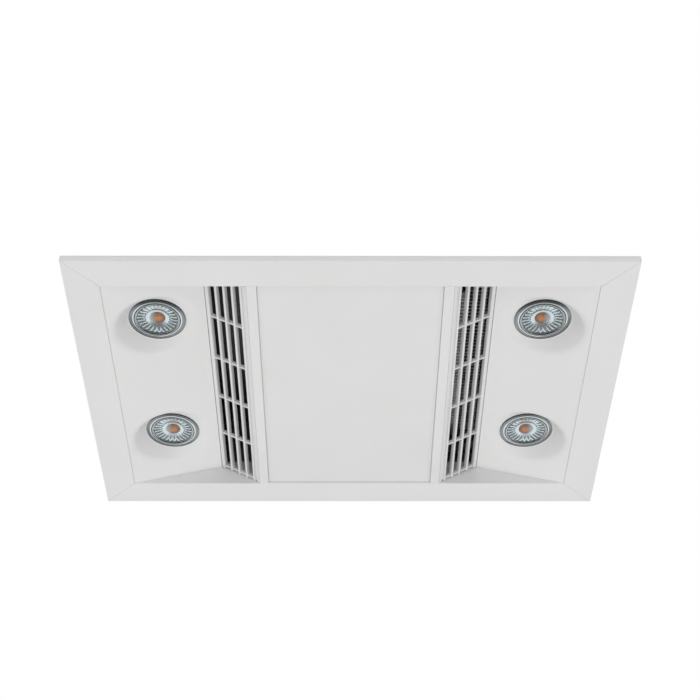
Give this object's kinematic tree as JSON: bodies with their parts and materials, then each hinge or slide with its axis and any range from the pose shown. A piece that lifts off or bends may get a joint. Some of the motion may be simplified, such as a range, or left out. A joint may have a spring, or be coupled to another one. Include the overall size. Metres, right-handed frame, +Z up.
{
  "type": "bathroom ceiling heater",
  "caption": "Recessed ceiling unit: white fascia with sloping lamp panels, spot lamps and slatted grilles over a warm air fan, an exhaust fan and a duct spigot.",
  "frame": {"origin": "centre of the rectangle of ceiling screws, on the ceiling plane, which the housing flange meets", "axes": "+Z up into the ceiling, +X along the fascia's length to the right, +Y to the rear, where the duct leaves"},
  "size_m": [0.6, 0.4461, 0.208],
  "materials": {
    "fascia_enamel": "satin white powder coat",
    "fascia_plastic": "satin white moulding",
    "bezel_chrome": "bright plated",
    "lamp_metal": "satin cast",
    "lens_clear": "clear polished",
    "holder_ceramic": "semi gloss",
    "galvanised": "zinc spangle",
    "spring_steel": "rolled",
    "shaft_steel": "ground",
    "motor_steel": "satin lacquer",
    "copper": "enamelled wire",
    "fin_aluminium": "rolled strip",
    "black_plastic": "moulded",
    "bush_rubber": "moulded"
  },
  "bodies": {
    "unit": {"frame_front": "fascia_enamel", "frame_rear": "fascia_enamel", "frame_left": "fascia_enamel", "frame_right": "fascia_enamel", "lamp_panel_left": "fascia_enamel", "lamp_panel_right": "fascia_enamel", "centre_rail_left": "fascia_enamel", "centre_rail_right": "fascia_enamel", "grille_left": "fascia_plastic", "grille_right": "fascia_plastic", "centre_panel": "fascia_plastic", "bezel_front_left": "bezel_chrome", "bezel_front_right": "bezel_chrome", "bezel_rear_left": "bezel_chrome", "bezel_rear_right": "bezel_chrome", "holder_front_left": "holder_ceramic", "holder_front_right": "holder_ceramic", "holder_rear_left": "holder_ceramic", "holder_rear_right": "holder_ceramic", "terminal_block": "holder_ceramic", "corner_keys": "galvanised", "lamp_brackets": "galvanised", "housing": "galvanised", "deck": "galvanised", "baffle_left": "galvanised", "baffle_right": "galvanised", "scroll_casing": "galvanised", "motor_bracket": "galvanised", "duct_spigot": "galvanised", "warm_casing": "galvanised", "outlet_skirt": "galvanised", "terminal_box": "galvanised", "terminal_cover": "galvanised", "fascia_clips": "spring_steel", "damper_spring": "spring_steel", "damper_spindle": "shaft_steel", "exhaust_motor": "motor_steel", "warm_motor": "motor_steel", "motor_coil": "copper", "heating_element": "fin_aluminium", "inlet_ring": "black_plastic", "rotor_bush": "black_plastic", "element_frame": "black_plastic", "thermal_cutout": "black_plastic", "cable_gland": "black_plastic", "motor_bushes": "bush_rubber"},
    "exhaust_wheel": {"exhaust_impeller": "black_plastic", "exhaust_shaft": "shaft_steel"},
    "warm_wheel": {"warm_rotor": "black_plastic", "rotor_axles": "shaft_steel"},
    "flap_left": {"damper_flap_left": "fascia_plastic"},
    "flap_right": {"damper_flap_right": "fascia_plastic"},
    "spot_front_left": {"lamp_front_left": "lamp_metal", "lens_front_left": "lens_clear"},
    "spot_front_right": {"lamp_front_right": "lamp_metal", "lens_front_right": "lens_clear"},
    "spot_rear_left": {"lamp_rear_left": "lamp_metal", "lens_rear_left": "lens_clear"},
    "spot_rear_right": {"lamp_rear_right": "lamp_metal", "lens_rear_right": "lens_clear"}
  },
  "joints": [
    {"name": "exhaust_spin", "type": "hinge", "parent": "unit", "child": "exhaust_wheel", "pos_m": [-0.03, -0.02, 0.15], "axis": [0, 0, 1], "continuous": true},
    {"name": "warm_spin", "type": "hinge", "parent": "unit", "child": "warm_wheel", "pos_m": [0.1358, 0, 0.069], "axis": [0, 1, 0], "continuous": true},
    {"name": "damper_left_hinge", "type": "hinge", "parent": "unit", "child": "flap_left", "pos_m": [-0.1065, 0.1911, 0.1485], "axis": [0, 0, 1], "range_deg": [-75, 0], "stiffness_Nm_per_rad": 0.004},
    {"name": "damper_right_hinge", "type": "hinge", "parent": "unit", "child": "flap_right", "pos_m": [-0.1065, 0.1911, 0.1485], "axis": [0, 0, 1], "range_deg": [0, 75], "stiffness_Nm_per_rad": 0.004},
    {"name": "lamp_twist_front_left", "type": "hinge", "parent": "unit", "child": "spot_front_left", "pos_m": [-0.21145, -0.0965, 0.0161], "axis": [0, 0, 1], "range_deg": [-20, 0]},
    {"name": "lamp_twist_front_right", "type": "hinge", "parent": "unit", "child": "spot_front_right", "pos_m": [0.21145, -0.0965, 0.0161], "axis": [0, 0, 1], "range_deg": [-20, 0]},
    {"name": "lamp_twist_rear_left", "type": "hinge", "parent": "unit", "child": "spot_rear_left", "pos_m": [-0.21145, 0.0965, 0.0161], "axis": [0, 0, 1], "range_deg": [-20, 0]},
    {"name": "lamp_twist_rear_right", "type": "hinge", "parent": "unit", "child": "spot_rear_right", "pos_m": [0.21145, 0.0965, 0.0161], "axis": [0, 0, 1], "range_deg": [-20, 0]}
  ]
}
